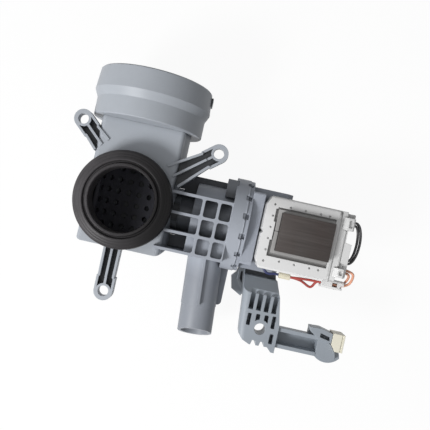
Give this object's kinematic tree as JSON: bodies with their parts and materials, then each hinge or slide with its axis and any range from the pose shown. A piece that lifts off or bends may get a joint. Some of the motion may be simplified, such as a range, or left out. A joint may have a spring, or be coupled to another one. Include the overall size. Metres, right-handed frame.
{
  "type": "washer drain pump",
  "caption": "Washing machine drain pump with a filter chamber and pull-out filter, rib-stiffened pump casing, outlet tube, synchronous motor and harness bracket.",
  "frame": {"origin": "on the inlet axis, in the plane of the inlet neck's rim", "axes": "+Z out of the inlet, +X along the rotor axis towards the motor, +Y along the filter axis towards the filter cap"},
  "size_m": [0.2198, 0.1806, 0.0852],
  "materials": {
    "housing_grey": "satin moulded plastic",
    "seal_black": "matt rubber",
    "filter_dark": "matt moulded plastic",
    "cap_grey": "satin moulded plastic",
    "impeller_plastic": "satin moulded plastic",
    "dog_plastic": "matt moulded plastic",
    "shaft_steel": "ground",
    "magnet_ferrite": "sintered ferrite",
    "bearing_bronze": "sintered bronze",
    "core_steel": "stacked laminations",
    "bobbin_plastic": "satin moulded plastic",
    "winding_copper": "enamelled copper wire",
    "cover_white": "satin moulded plastic",
    "terminal_brass": "stamped brass",
    "fuse_ivory": "glass-fibre sleeve",
    "lead_red": "wire insulation",
    "lead_orange": "wire insulation",
    "lead_black": "wire insulation",
    "lead_blue": "wire insulation",
    "bracket_grey": "satin moulded plastic",
    "connector_ivory": "satin moulded plastic"
  },
  "bodies": {
    "housing": {"filter_housing": "housing_grey", "filter_collar": "housing_grey", "inlet_seal": "seal_black", "volute_casing": "housing_grey", "front_bearing": "bearing_bronze", "rear_bearing": "bearing_bronze", "casing_seal": "seal_black", "motor_mount": "housing_grey", "stator_core": "core_steel", "coil_bobbins": "bobbin_plastic", "coil_windings": "winding_copper", "coil_cover": "cover_white", "terminal_housing": "cover_white", "terminal_blades": "terminal_brass", "wire_clip": "cover_white", "thermal_fuse": "fuse_ivory", "red_leads": "lead_red", "orange_leads": "lead_orange", "black_leads": "lead_black", "blue_lead": "lead_blue", "harness_bracket": "bracket_grey", "connector_housing": "connector_ivory", "connector_contacts": "terminal_brass"},
    "rotor": {"rotor_shaft": "shaft_steel", "rotor_magnet": "magnet_ferrite", "drive_dog": "dog_plastic"},
    "impeller": {"impeller": "impeller_plastic"},
    "filter": {"filter_basket": "filter_dark"},
    "filter_knob": {"filter_cap": "cap_grey", "filter_cap_seal": "seal_black"}
  },
  "joints": [
    {"name": "rotor_spin", "type": "hinge", "parent": "housing", "child": "rotor", "pos_m": [0.1, 0, -0.0406], "axis": [1, 0, 0], "continuous": true},
    {"name": "impeller_slip", "type": "hinge", "parent": "rotor", "child": "impeller", "pos_m": [0.07, 0, -0.0406], "axis": [1, 0, 0], "range_deg": [-110, 110]},
    {"name": "filter_pull", "type": "slide", "parent": "housing", "child": "filter", "axis": [0, 1, 0], "range_m": [0, 0.125]},
    {"name": "filter_turn", "type": "hinge", "parent": "filter", "child": "filter_knob", "pos_m": [0.0012, 0.07, -0.033], "axis": [0, 1, 0], "range_deg": [0, 90]}
  ]
}
